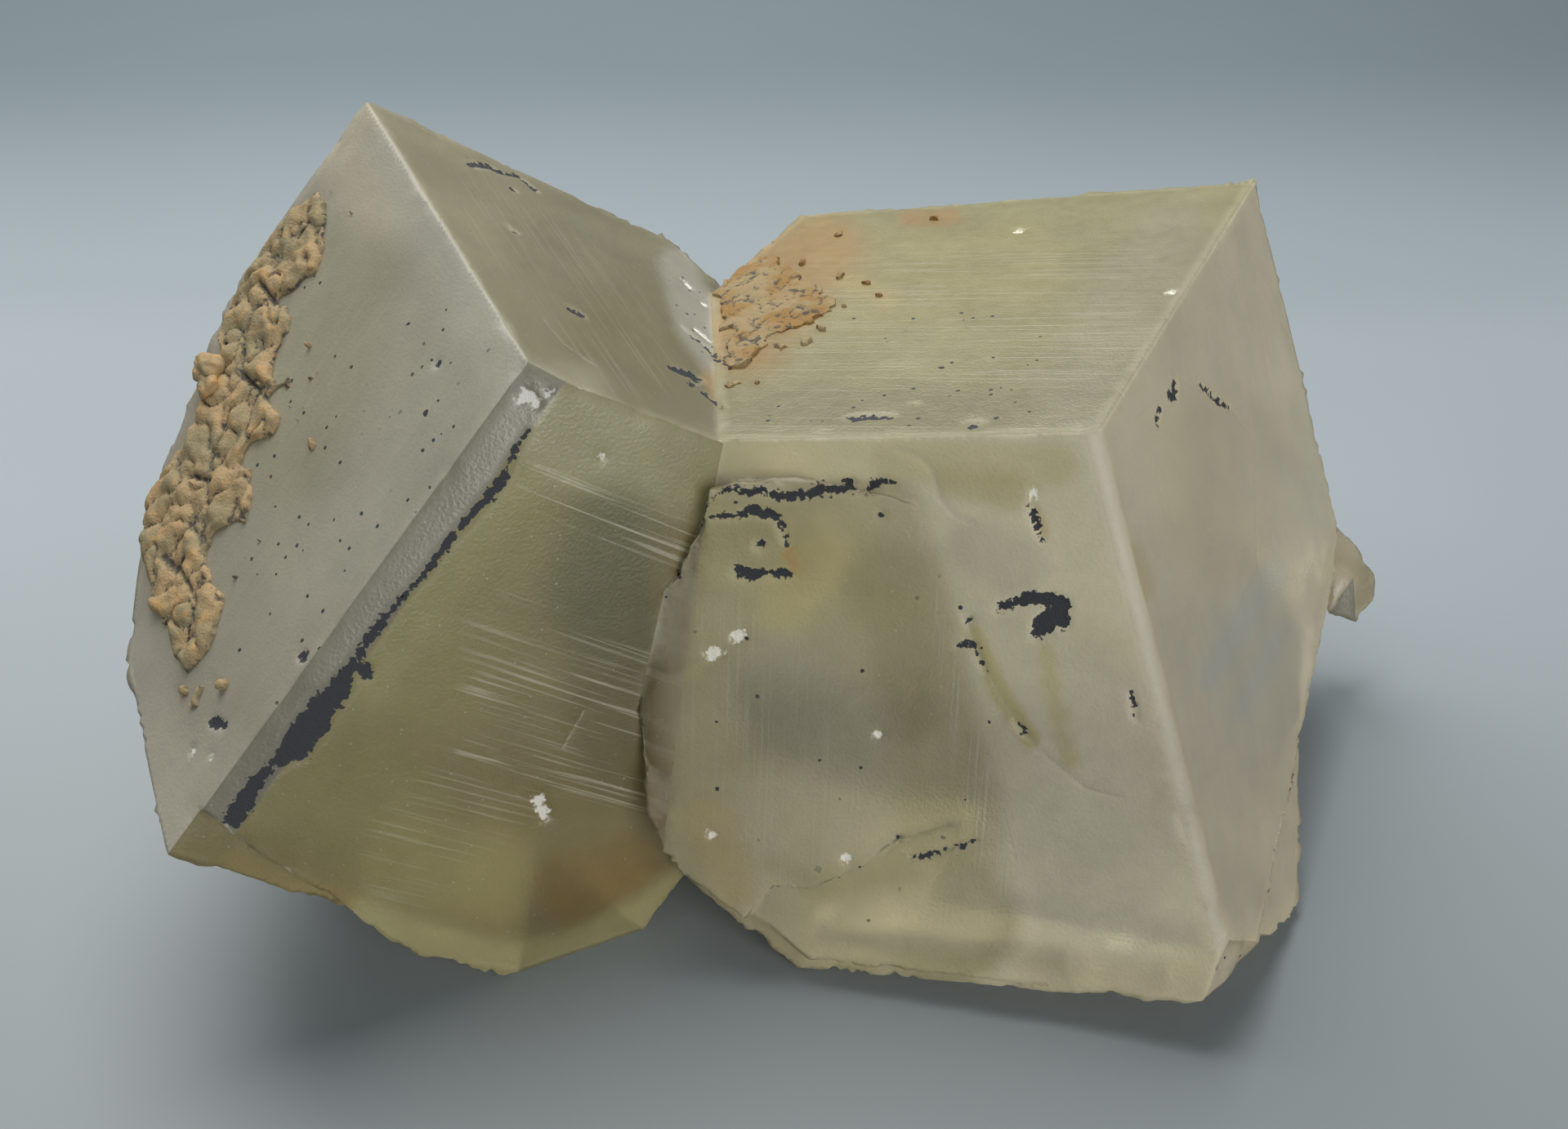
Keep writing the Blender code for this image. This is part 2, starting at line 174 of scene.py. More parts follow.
CRACKS = {
    "crack from the top edge": [[(1100, 550, 1.5), (1125, 560, 1.5), (1140, 575, 2),
                                 (1150, 610, 2), (1170, 632, 1.5), (1190, 640, 1.5)]],
    "curved crack": [[(1180, 755, 1.5), (1205, 820, 1.5), (1245, 890, 1.5), (1270, 915, 1.5),
                      (1330, 965, 1.5), (1370, 975, 1.5)]],
    "side outline": [[(1391, 510, 1.5), (1445, 465, 1.5), (1505, 498, 1.5), (1535, 540, 1),
                      (1540, 690, 1), (1480, 820, 1)]],
    "scratches": [[(1520, 1000, 1.2), (1568, 1030, 1.2)],
                  [(665, 390, 1), (690, 420, 1.5), (725, 445, 1.5)],
                  [(715, 870, 1.2), (690, 915, 1.2)]],
}
FLAKES = {
    "flakes on the left crystal": [
        [(640, 485, 9), (655, 492, 6)], [(672, 480, 3)], [(737, 560, 3)],
        [(658, 980, 7), (668, 1000, 6)], [(838, 345, 3), (846, 352, 3)], [(862, 372, 4)],
        [(852, 402, 3), (868, 415, 3)], [(880, 440, 3)], [(235, 918, 4)], [(258, 925, 3)],
    ],
    "flakes on the right crystal": [
        [(870, 800, 8), (880, 798, 5)], [(900, 780, 6), (910, 776, 4)], [(870, 1022, 5)],
        [(1035, 1050, 5)], [(1075, 900, 4)], [(1248, 283, 5)], [(1433, 357, 4)],
        [(1265, 600, 4), (1262, 610, 3)],
    ],
}


def point_tree(places):
    """A tree that finds the nearest of some places."""
    tree = kdtree.KDTree(len(places))
    for i, place in enumerate(places):
        tree.insert(place, i)
    tree.balance()
    return tree


class Strokes:
    """Marks as points on the crystal, close together, each with its half width in mm."""

    SPACING = 2.5  # px

    def __init__(self, groups):
        self.places, self.widths = [], []
        for stroke in (stroke for group in groups.values() for stroke in group):
            if len(stroke) == 1:
                self.add(*stroke[0])
            for (x, y, width), (next_x, next_y, next_width) in zip(stroke, stroke[1:]):
                count = max(1, round(math.hypot(next_x - x, next_y - y) / self.SPACING))
                for i in range(count + 1):
                    share = i / count
                    self.add(x + (next_x - x) * share, y + (next_y - y) * share,
                             width + (next_width - width) * share)
        self.tree = point_tree(self.places)

    def add(self, x, y, width):
        place = on_crystal(x, y)
        if place is not None:
            self.places.append(place)
            self.widths.append(width * (place - EYE).length / FOCAL_PIXELS / MM)

    def gap(self, place):
        """How far a place is outside the nearest stroke, in mm; negative inside it."""
        _, index, distance = self.tree.find(place)
        return distance / MM - self.widths[index]


manganese, cracks, flakes = Strokes(MANGANESE), Strokes(CRACKS), Strokes(FLAKES)


def face_name(normal):
    """The name of the crystal face that looks this way, or "other"."""
    closest = max(FACES, key=lambda name: normal.dot(Vector(FACES[name]).normalized()))
    return closest if normal.dot(Vector(FACES[closest]).normalized()) > FACE_TOLERANCE else "other"


def edge_points(shape):
    """Points along the crystal's sharp edges, for its wear."""
    places = []
    for edge in shape.edges:
        if edge.calc_face_angle(0.0) > SHARP_ANGLE:
            start, end = (v.co for v in edge.verts)
            count = max(1, math.ceil((end - start).length / (0.3 * MM)))
            places += [start.lerp(end, i / count) for i in range(count + 1)]
    return point_tree(places)


sharp_edges = edge_points(crystal_solid)


def split_long(shape, longest):
    """Splits each edge longer than longest(middle) in mm, and keeps every face a triangle."""
    too_long = [e for e in shape.edges
                if e.calc_length() / MM > longest((e.verts[0].co + e.verts[1].co) / 2)]
    if not too_long:
        return False
    bmesh.ops.subdivide_edges(shape, edges=too_long, cuts=1)
    bmesh.ops.triangulate(shape, faces=[f for f in shape.faces if len(f.verts) > 3])
    return True


def even_out(shape, kind):
    """Flips and evens out the triangles inside each flat face, which keeps the face flat."""
    inner = [e for e in shape.edges if len({f[kind] for f in e.link_faces}) == 1
             and e.calc_face_angle(1.0) < FLAT_ANGLE]
    touched = {f for e in inner for f in e.link_faces}
    bmesh.ops.beautify_fill(shape, faces=list(touched), edges=inner, method="ANGLE")
    inside = [v for v in shape.verts
              if all(e.calc_face_angle(1.0) < FLAT_ANGLE for e in v.link_edges)]
    bmesh.ops.smooth_vert(shape, verts=inside, factor=0.5,
                          use_axis_x=True, use_axis_y=True, use_axis_z=True)


def mark_target(place):
    """The edge length wanted at a place, in mm: fine at marks and worn edges, coarse elsewhere."""
    plain = PLAIN_EDGE if place.y < 0.012 or place.z > 0.030 else HIDDEN_EDGE
    near_mark = min(strokes.gap(place) for strokes in (manganese, cracks, flakes))
    near_edge = sharp_edges.find(place)[2] / MM
    return min(plain, MARK_EDGE + SIZE_GROWTH * max(0.0, near_mark - 0.15),
               WORN_EDGE + SIZE_GROWTH * max(0.0, near_edge - 0.5)) * 1.25


def crystal_mesh():
    """The crystal's faces split finely, with each face's name kept as a number."""
    shape = crystal_solid.copy()
    kind = shape.faces.layers.int.new("kind")
    for face in shape.faces:
        face[kind] = FACE_NAMES.index(face_name(face.normal))
    bmesh.ops.triangulate(shape, faces=shape.faces)
    for longest in (16, 8, 4, 2):
        for _ in range(3):
            split_long(shape, lambda place: longest * 1.3)
        even_out(shape, kind)
    for _ in range(8):
        if not split_long(shape, mark_target):
            break
    return shape


def relief(place, name, edge_gap):
    """How far the surface stands out at a place, in mm."""
    at = place / MM
    height = 0.05 * noise.noise(at / 7) + 0.025 * noise.noise(at / 2.3 + Vector((9, 0, 0)))
    if name == "other":
        height += 0.22 * noise.noise(at / 2.0) + 0.10 * noise.noise(at / 0.8)
        terrace = round(noise.noise(at / 6.5 + Vector((0, 0, 3))) * TERRACE_STEPS) / TERRACE_STEPS
        height += TERRACE_HEIGHT * terrace
    for strokes, depth, fade in ((manganese, MANGANESE_DEPTH, MANGANESE_FADE),
                                 (cracks, CRACK_DEPTH, CRACK_FADE),
                                 (flakes, FLAKE_DEPTH, FLAKE_FADE)):
        height -= depth * math.exp(-max(0.0, strokes.gap(place)) / fade)
    chips = max(0.0, noise.noise(at / 1.7 + Vector((0, 5, 0))) - 0.15)
    height -= (WORN_DEPTH + CHIP_DEPTH * chips) * math.exp(-edge_gap / EDGE_FADE)
    return height * min(1.0, at.z / CUT_MARGIN)


def new_object(name, shape, finish, smooth_angle):
    """An object at the origin, shaded smooth except where its faces meet more sharply."""
    mesh = bpy.data.meshes.new(name)
    shape.to_mesh(mesh)
    shape.free()
    mesh.materials.append(finish)
    made = bpy.data.objects.new(name, mesh)
    bpy.context.scene.collection.objects.link(made)
    mesh.shade_smooth()
    mesh.set_sharp_from_angle(angle=math.radians(smooth_angle))
    return made


def add_values(mesh, name, values, domain="POINT"):
    """Paints a value on a mesh's points or its triangles' corners."""
    mesh.attributes.new(name, "FLOAT", domain).data.foreach_set(
        "value", np.asarray(values, np.float32))


# The crystals' own colour on each face, before zones and marks. Linear values.
FACE_TINTS = {
    "left_side": (0.53, 0.50, 0.40),
    "left_top": (0.38, 0.35, 0.22),
    "left_front": (0.27, 0.22, 0.082),
    "left_bevel": (0.27, 0.255, 0.195),
    "right_top": (0.49, 0.45, 0.23),
    "right_front": (0.86, 0.78, 0.54),
    "right_sheet": (0.86, 0.78, 0.54),
    "right_side": (0.80, 0.70, 0.49),
    "right_bevel": (0.77, 0.69, 0.51),
    "other": (0.53, 0.46, 0.30),
}
RIGHT_FRONTS = ("right_front", "right_sheet", "right_bevel")
LEFT_FRONTS = ("left_front", "other")

# Soft areas of colour: faces, colour, share, softness in px, and a stroke as above.
ZONES = [
    (("left_side",), (0.74, 0.67, 0.51), 0.9, 60, [(445, 150, 40), (470, 230, 30)]),
    (("left_side",), (0.64, 0.62, 0.52), 0.8, 50, [(480, 180, 8), (560, 330, 10), (640, 470, 22)]),
    (("left_side", "other"), (0.62, 0.59, 0.48), 0.8, 60, [(225, 1040, 40), (260, 960, 40)]),
    (("left_side",), (0.67, 0.63, 0.52), 0.6, 30,
     [(165, 780, 12), (190, 900, 12), (215, 1020, 12)]),
    (("left_side",), (0.49, 0.47, 0.31), 0.6, 60, [(430, 330, 25), (400, 430, 30), (350, 560, 25)]),
    (("left_top",), (0.46, 0.42, 0.27), 0.7, 80, [(500, 170, 30), (560, 240, 40)]),
    (("left_top",), (0.32, 0.29, 0.16), 0.8, 60, [(760, 400, 40), (800, 440, 30)]),
    (("left_top",), (0.59, 0.54, 0.38), 0.9, 45, [(650, 495, 25), (700, 490, 20)]),
    (("left_top",), (0.55, 0.49, 0.33), 0.7, 25, [(700, 515, 8), (790, 535, 8), (885, 548, 6)]),
    (("left_top",), (0.66, 0.63, 0.53), 0.9, 18, [(828, 325, 12), (856, 395, 20), (880, 440, 14)]),
    (("left_top",), (0.70, 0.47, 0.22), 0.7, 9, [(868, 462, 5), (884, 490, 5)]),
    (LEFT_FRONTS, (0.32, 0.29, 0.11), 0.8, 30, [(640, 590, 10), (480, 800, 12), (330, 990, 15)]),
    (LEFT_FRONTS, (0.32, 0.28, 0.10), 0.8, 60, [(420, 960, 40), (480, 1010, 40)]),
    (LEFT_FRONTS, (0.36, 0.31, 0.11), 0.8, 50, [(500, 1060, 30), (600, 1070, 30)]),
    (LEFT_FRONTS, (0.41, 0.38, 0.19), 1.0, 50, [(700, 530, 40), (800, 560, 42), (880, 585, 25)]),
    (LEFT_FRONTS, (0.15, 0.14, 0.048), 0.95, 60, [(745, 650, 25), (735, 720, 42), (760, 790, 28)]),
    (LEFT_FRONTS, (0.19, 0.16, 0.059), 0.8, 50, [(745, 860, 38), (750, 930, 26)]),
    (LEFT_FRONTS, (0.31, 0.20, 0.052), 0.9, 40, [(700, 1090, 22), (775, 1060, 14)]),
    (LEFT_FRONTS, (0.48, 0.43, 0.19), 1.0, 22, [(440, 1120, 10), (520, 1152, 12), (620, 1180, 15),
                                                (700, 1165, 12), (790, 1115, 9), (830, 1080, 7)]),
    (LEFT_FRONTS, (0.38, 0.29, 0.090), 0.7, 20, [(290, 1062, 10), (350, 1085, 8), (420, 1105, 6)]),
    (("right_top",), (0.43, 0.38, 0.20), 0.8, 30, [(900, 500, 14), (1250, 500, 14)]),
    (("right_top",), (0.52, 0.48, 0.30), 0.9, 70,
     [(1440, 300, 30), (1400, 380, 40), (1350, 490, 40)]),
    (("right_top",), (0.57, 0.50, 0.24), 0.7, 60, [(1080, 345, 30), (1240, 330, 30)]),
    (("right_top",), (0.60, 0.38, 0.14), 0.85, 50,
     [(915, 410, 26), (950, 350, 32), (1010, 305, 20)]),
    (("right_top",), (0.68, 0.55, 0.21), 0.6, 12, [(1040, 345, 6), (1085, 365, 7)]),
    (("right_top",), (0.64, 0.38, 0.15), 0.7, 10, [(1110, 268, 4), (1165, 266, 5)]),
    (RIGHT_FRONTS, (0.93, 0.84, 0.63), 0.8, 90, [(1330, 900, 40), (1340, 1080, 50)]),
    (RIGHT_FRONTS, (0.55, 0.49, 0.28), 1.0, 34, [(1035, 650, 80), (1055, 740, 90), (1070, 860, 102),
                                                 (1100, 1000, 108), (1150, 1110, 84)]),
    (RIGHT_FRONTS, (0.55, 0.49, 0.28), 1.0, 30, [(905, 690, 72), (880, 860, 105), (905, 1000, 108),
                                                 (1000, 1120, 86)]),
    (RIGHT_FRONTS, (0.88, 0.80, 0.49), 1.0, 16, [(900, 560, 14), (1060, 564, 17)]),
    (RIGHT_FRONTS, (0.78, 0.68, 0.39), 0.9, 18, [(1090, 562, 16), (1290, 570, 18)]),
    (RIGHT_FRONTS, (0.65, 0.58, 0.30), 0.9, 30, [(880, 660, 40), (990, 680, 40)]),
    (RIGHT_FRONTS, (0.69, 0.59, 0.27), 0.8, 30, [(1000, 690, 22), (960, 745, 18)]),
    (RIGHT_FRONTS, (0.41, 0.36, 0.19), 0.85, 45,
     [(1085, 710, 28), (1110, 780, 22), (1105, 870, 18)]),
    (RIGHT_FRONTS, (0.52, 0.49, 0.36), 0.6, 60, [(960, 850, 40), (1020, 900, 40)]),
    (RIGHT_FRONTS, (0.66, 0.60, 0.41), 0.8, 50, [(930, 1000, 35), (1050, 1000, 30)]),
    # A darker band along the seam: painted shade where the right crystal's shoulder rounds into the
    # left one.
    (RIGHT_FRONTS, (0.41, 0.36, 0.22), 0.8, 14, [(815, 760, 12), (800, 850, 16), (800, 930, 12)]),
    (RIGHT_FRONTS, (0.73, 0.65, 0.41), 0.9, 30,
     [(900, 1085, 22), (1000, 1145, 22), (1180, 1120, 30)]),
    (RIGHT_FRONTS, (0.63, 0.47, 0.22), 0.5, 30, [(870, 1005, 18), (900, 1090, 8)]),
    (RIGHT_FRONTS, (0.93, 0.87, 0.63), 0.8, 60, [(1300, 1050, 50), (1400, 1110, 40)]),
    (RIGHT_FRONTS, (0.65, 0.60, 0.43), 0.8, 30, [(1190, 670, 18), (1240, 690, 22)]),
    (RIGHT_FRONTS, (0.74, 0.66, 0.43), 0.8, 30, [(1280, 1195, 16), (1460, 1205, 16)]),
    (RIGHT_FRONTS, (0.63, 0.54, 0.27), 0.8, 22, [(1160, 588, 8), (1240, 602, 12)]),
    (RIGHT_FRONTS, (0.67, 0.58, 0.23), 0.8, 10, [(1192, 775, 4), (1225, 850, 7), (1262, 905, 6)]),
    (RIGHT_FRONTS, (0.73, 0.65, 0.30), 0.7, 12, [(1280, 800, 4), (1295, 880, 6), (1310, 930, 5)]),
    (RIGHT_FRONTS, (0.73, 0.47, 0.16), 0.7, 8, [(966, 678, 6), (974, 694, 4)]),
    (RIGHT_FRONTS, (0.78, 0.60, 0.27), 0.6, 8, [(1270, 630, 4), (1278, 650, 4)]),
    (("right_side",), (0.89, 0.78, 0.56), 0.8, 60, [(1510, 280, 20), (1570, 430, 30)]),
    (("right_side",), (0.71, 0.60, 0.38), 0.8, 60, [(1470, 540, 30), (1490, 650, 35)]),
    (("right_side",), (0.69, 0.67, 0.57), 0.7, 16,
     [(1560, 700, 8), (1520, 760, 12), (1480, 830, 7)]),
    (("right_side",), (0.69, 0.67, 0.57), 0.6, 14, [(1565, 770, 7), (1520, 870, 9)]),
    (("right_side",), (0.67, 0.52, 0.26), 0.6, 14, [(1385, 680, 10), (1400, 720, 10)]),
]

# Where small black specks are scattered: faces, density, softness in px, and a stroke.
SOOT = [
    (("left_side",), 0.8, 70, [(520, 420, 30), (490, 520, 80), (420, 700, 80), (370, 800, 40)]),
    (("left_side",), 0.9, 25, [(375, 350, 15), (385, 470, 20), (345, 560, 20), (320, 650, 18)]),
    (("left_top",), 1.2, 15, [(832, 340, 10), (858, 400, 16), (882, 450, 12)]),
    (("right_top",), 1.2, 22, [(900, 505, 14), (1000, 505, 18), (1110, 488, 22), (1260, 490, 12)]),
    (("right_top",), 0.5, 50, [(980, 440, 40), (1240, 430, 40)]),
    (RIGHT_FRONTS, 1.4, 8, [(890, 602, 8), (960, 600, 10), (1050, 594, 8)]),
    (RIGHT_FRONTS, 0.8, 12, [(815, 760, 12), (800, 850, 16), (800, 950, 12)]),
    (RIGHT_FRONTS, 0.3, 60, [(900, 700, 40), (1000, 1000, 120), (1200, 800, 80)]),
    (("other",), 0.35, 1, [(960, 700, 2000)]),
]

# Where fine pale growth lines show: faces, strength, softness in px, and a stroke.
LINES = [
    (("left_front",), 1.0, 14, [(650, 590, 12), (760, 635, 22), (850, 675, 20)]),
    (("left_front",), 1.0, 14, [(590, 850, 12), (680, 850, 30), (780, 870, 24)]),
    (("left_front",), 0.9, 14, [(580, 920, 10), (700, 950, 14), (785, 975, 12)]),
    (("left_front",), 0.45, 40, [(620, 780, 30), (760, 820, 30), (500, 1050, 40)]),
    (RIGHT_FRONTS, 0.65, 20, [(1160, 740, 14), (1190, 880, 20), (1220, 1060, 16)]),
    (RIGHT_FRONTS, 0.35, 60, [(900, 820, 60), (960, 1000, 60)]),
    (RIGHT_FRONTS, 0.35, 20, [(1160, 720, 8), (1260, 722, 8)]),
    (("right_top",), 0.45, 60, [(1000, 400, 60), (1350, 380, 60)]),
    (("right_top",), 0.35, 30, [(900, 530, 10), (1300, 535, 10)]),
    (("left_top",), 0.3, 40, [(600, 250, 40), (780, 440, 40)]),
    (("left_side",), 0.25, 200, [(450, 400, 90), (330, 800, 90)]),
    (("right_side",), 0.3, 200, [(1540, 400, 60), (1520, 900, 60)]),
    (("other",), 0.4, 1, [(960, 700, 2000)]),
]
LINES_PER_MM, LINE_DRIFT = 3.4, 0.07
# The two photo pixels that a growth line runs through, by face.
GROWTH = {
    "left_front": ((650, 590), (860, 680)),
    "left_top": ((470, 160), (640, 470)),
    "left_side": ((600, 520), (300, 940)),
    "right_front": ((1160, 780), (1240, 1120)),
    "right_sheet": ((820, 760), (815, 960)),
    "right_top": ((950, 500), (1250, 502)),
    "right_side": ((1420, 600), (1500, 1050)),
}


def reach(points, stroke):
    """How far each photo point lies outside a stroke, in px; negative inside it."""
    nearest = np.full(len(points), np.inf)
    for start, end in zip(stroke, stroke[1:] or stroke):
        first, along = np.array(start[:2]), np.subtract(end[:2], start[:2])
        share = np.clip((points - first) @ along / max(along @ along, 1e-9), 0, 1)
        width = start[2] + (end[2] - start[2]) * share
        gap = np.linalg.norm(points - first - share[:, None] * along, axis=1) - width
        nearest = np.minimum(nearest, gap)
    return nearest


def cover(points, stroke, soft):
    """A share from 1 inside a stroke to 0 at its soft edge's end, for each photo point."""
    rest = np.clip(1 - np.maximum(reach(points, stroke), 0) / soft, 0, 1)
    return rest * rest * (3 - 2 * rest)


def on_faces(kinds, faces):
    """Which face corners lie on some named faces."""
    return np.isin(kinds, [FACE_NAMES.index(name) for name in faces])


def scatter(points, kinds, areas):
    """The strongest of some areas at each face corner."""
    most = np.zeros(len(points))
    for faces, strength, soft, stroke in areas:
        shown = on_faces(kinds, faces)
        most[shown] = np.maximum(most[shown], strength * cover(points[shown], stroke, soft))
    return most


# Stains on the broken faces: colour, patch size in mm, and where in the noise they start.
STAINS = [((0.40, 0.27, 0.11), 9.0, 3.0), ((0.66, 0.60, 0.46), 5.0, 40.0)]
# How much darker the low faces that look down are painted: painted shade under the crystals.
UNDERSIDE_PAINTED_SHADE = 0.35


def corner_tints(points, kinds, places, normals):
    """The calcite's colour at each face corner: faces, zones, stains on the broken faces, then
    painted shade on the low faces that look down.
    """
    tints = np.array([FACE_TINTS[name] for name in FACE_NAMES])[kinds]
    for faces, colour, strength, soft, stroke in ZONES:
        shown = on_faces(kinds, faces)
        share = strength * cover(points[shown], stroke, soft)[:, None]
        tints[shown] = tints[shown] * (1 - share) + np.array(colour) * share
    broken = on_faces(kinds, ("other",))
    for colour, spread, shift in STAINS:
        patch = np.array([noise.noise(Vector(place) / spread + Vector((shift, 0, 0)))
                          for place in places])
        share = (np.clip((patch - 0.08) * 4, 0, 1) * 0.6 * broken)[:, None]
        tints = tints * (1 - share) + np.array(colour) * share
    # Painted shade: the faces that look down are darkened, most of all at the bottom.
    under = np.clip(-normals[:, 2] * 1.6 - 0.1, 0, 1) * np.clip(1.6 - places[:, 2] / 14, 0, 1)
    tints *= 1 - UNDERSIDE_PAINTED_SHADE * under[:, None]
    return np.hstack([tints, np.ones((len(tints), 1))])


def growth_places(places, kinds):
    """Each face corner's place across and along its face's growth lines, for their noise."""
    laid = np.stack([places[:, 2] * 1.1, places[:, 0] * 0.08, places[:, 1] * 0.08], axis=1)
    for face, (start, end) in GROWTH.items():
        along = (on_crystal(*end) - on_crystal(*start)).normalized()
        across = along.cross(Vector(FACES[face])).normalized()
        shown = on_faces(kinds, (face,))
        laid[shown] = np.stack([places[shown] @ np.array(across) * LINES_PER_MM,
                                places[shown] @ np.array(along) * LINE_DRIFT,
                                np.zeros(shown.sum())], axis=1)
    return laid


BLACK_MANGANESE = (0.024, 0.027, 0.033, 1)
CRUST_CLEFT = (0.030, 0.030, 0.030, 1)
GROWTH_LINE = (0.68, 0.63, 0.48, 1)
WORN_CALCITE = (0.66, 0.60, 0.44, 1)
HEALED_CRACK = (0.72, 0.66, 0.50, 1)
PALE_DUST = (0.75, 0.72, 0.62, 1)
FRESH_CHIP = (0.80, 0.79, 0.75, 1)


class Wire:
    """An output socket of a material. Sums on it add Math nodes; node() adds any other."""

    def __init__(self, tree, socket=None):
        self.tree, self.socket = tree, socket

    def node(self, kind, settings=(), inputs=(), output=0):
        made = self.tree.nodes.new("ShaderNode" + kind)
        for name, value in dict(settings).items():
            setattr(made, name, value)
        for name, value in dict(inputs).items():
            if isinstance(value, Wire):
                self.tree.links.new(value.socket, made.inputs[name])
            else:
                made.inputs[name].default_value = value
        return Wire(self.tree, made.outputs[output] if made.outputs else None)

    def math(self, operation, *values):
        """A Math node on some values, wires or numbers."""
        return self.node("Math", {"operation": operation}, enumerate(values))

    def __add__(self, other):
        return self.math("ADD", self, other)

    def __sub__(self, other):
        return self.math("SUBTRACT", self, other)

    def __rsub__(self, other):
        return self.math("SUBTRACT", other, self)

    def __mul__(self, other):
        return self.math("MULTIPLY", self, other)

    __radd__, __rmul__ = __add__, __mul__

    def of(self, name):
        """Another output of the node that this socket is on."""
        return Wire(self.tree, self.socket.node.outputs[name])

    def dot(self, direction):
        """This vector's part along a fixed direction."""
        return self.node("VectorMath", {"operation": "DOT_PRODUCT"}, {0: self, 1: direction},
                         "Value")

    def blend(self, colour, share):
        """This colour, with another one laid over it by a share from 0 to 1."""
        return self.node("Mix", {"data_type": "RGBA"}, {0: share, 6: self, 7: colour}, 2)

    def blend_of(self, first, second, start, end):
        """Two colours, from the first to the second as this value goes from start to end."""
        return self.node("Mix", {"data_type": "RGBA"},
                         {0: self.step(start, end), 6: first, 7: second}, 2)

    def scaled(self, factor):
        """This vector or colour times a number."""
        return self.node("VectorMath", {"operation": "SCALE"}, {0: self, "Scale": factor})

    def step(self, start, end):
        """A soft step from 0 to 1 as this value goes from start to end."""
        return self.node("MapRange", {"interpolation_type": "SMOOTHSTEP"},
                         {"Value": self, "From Min": start, "From Max": end})

    def noise(self, scale, detail=3.0):
        """Noise at this place, about 0.5, from 0 to 1."""
        return self.node("TexNoise", (), {"Vector": self, "Scale": scale, "Detail": detail})


def new_finish(name):
    """An empty material, its tree, and a wire with the object's place in mm."""
    finish = bpy.data.materials.new(name)
    finish.use_nodes = True
    tree = finish.node_tree
    tree.nodes.clear()
    place = Wire(tree).node("TexCoord", output="Object").scaled(1000.0)
    return finish, place


def painted(place, name):
    """A value that was painted on the mesh."""
    return place.node("Attribute", {"attribute_name": name}, output="Fac")


def specks(place, ragged, density, size, soot):
    """Small ragged black specks, more of them where the painted soot is dense."""
    cells = place.node("TexVoronoi", (), {"Vector": place, "Scale": density})
    chance = cells.node("SeparateColor", (), {"Color": cells.of("Color")})
    return (1 - (cells + ragged).step(size * 0.8, size)) * (soot - chance).step(0.0, 0.05)


def calcite_finish():
    """Frosted, see-through calcite with its marks."""
    finish, place = new_finish("calcite")
    tint = place.node("Attribute", {"attribute_name": "tint"}, output="Color")
    black, cracked = painted(place, "manganese"), painted(place, "crack")
    flaked, worn = painted(place, "flake"), painted(place, "edge")

    cloud, mottle, grain = place.noise(0.16, 1.0), place.noise(0.9, 2.0), place.noise(4.5, 1.0)
    colour = tint.scaled(cloud * 0.34 + mottle * 0.16 + grain * 0.08 + 0.71)
    growth = place.node("Attribute", {"attribute_name": "growth"}, output="Vector")
    lines = growth.noise(1.0, 3.0).step(0.52, 0.66) * painted(place, "lines")
    colour = colour.blend(GROWTH_LINE, lines * 0.8)
    colour = colour.blend(WORN_CALCITE, (1 - worn.step(0.0, 0.5)) * mottle * 0.16)
    colour = colour.blend(HEALED_CRACK, (1 - cracked.step(-0.04, 0.09)) * 0.6)
    dust = 1 - place.node("TexVoronoi", (), {"Vector": place, "Scale": 1.1}).step(0.05, 0.09)
    colour = colour.blend(PALE_DUST, dust * 0.5)
    rough = place.noise(2.6, 3.0) - 0.5
    chipped = 1 - (flaked + rough * 1.3).step(-0.10, 0.15)
    colour = colour.blend(FRESH_CHIP, chipped * 0.7)
    soot = painted(place, "soot")
    fine = grain * 0.22 - 0.11
    dots = (specks(place, fine, 1.5, 0.24, soot * 0.22)
            + specks(place, fine, 0.75, 0.20, soot * 0.10))
    inked = 1 - (black + rough * 1.1 + (mottle - 0.5) * 0.6).step(-0.05, 0.03)
    dark = inked.math("MAXIMUM", inked, dots)
    colour = colour.blend(BLACK_MANGANESE, dark)
    frosted = place.node("Bump", (), {"Strength": 0.16, "Distance": 0.0002,
                                      "Height": grain + lines * 0.8})
    sooty = place.node("Bump", (), {"Strength": 0.35, "Distance": 0.0002,
                                    "Height": place.noise(9.0, 1.0)})
    duller = 2 - worn.step(0.0, 1.0) - black.step(0.0, 0.6)
    clear = place.node("BsdfPrincipled", (), {
        "Base Color": colour, "Roughness": mottle * 0.14 + duller * 0.3 + 0.28,
        "Normal": frosted, "IOR": 1.6, "Transmission Weight": 0.6})
    matt = place.node("BsdfPrincipled", (), {
        "Base Color": colour, "Roughness": 0.75, "Normal": sooty})
    surface = place.node("MixShader", (), {
        0: dark.math("MAXIMUM", dark, chipped), 1: clear, 2: matt})
    place.node("OutputMaterial", (), {"Surface": surface})
    return finish


def wear(shape):
    """Moves the crystal's surface by its relief. Gives the distance to each mark and edge."""
    kind = shape.faces.layers.int["kind"]
    shape.normal_update()
    names = {vert.index: FACE_NAMES[face[kind]] for face in shape.faces for vert in face.verts}
    gaps = {mark: [strokes.gap(v.co) for v in shape.verts] for mark, strokes in
            (("manganese", manganese), ("crack", cracks), ("flake", flakes))}
    gaps["edge"] = [sharp_edges.find(v.co)[2] / MM for v in shape.verts]
    moves = [v.normal * relief(v.co, names[v.index], edge_gap) * MM
             for v, edge_gap in zip(shape.verts, gaps["edge"])]
    for vert, move in zip(shape.verts, moves):
        vert.co += move
    return gaps


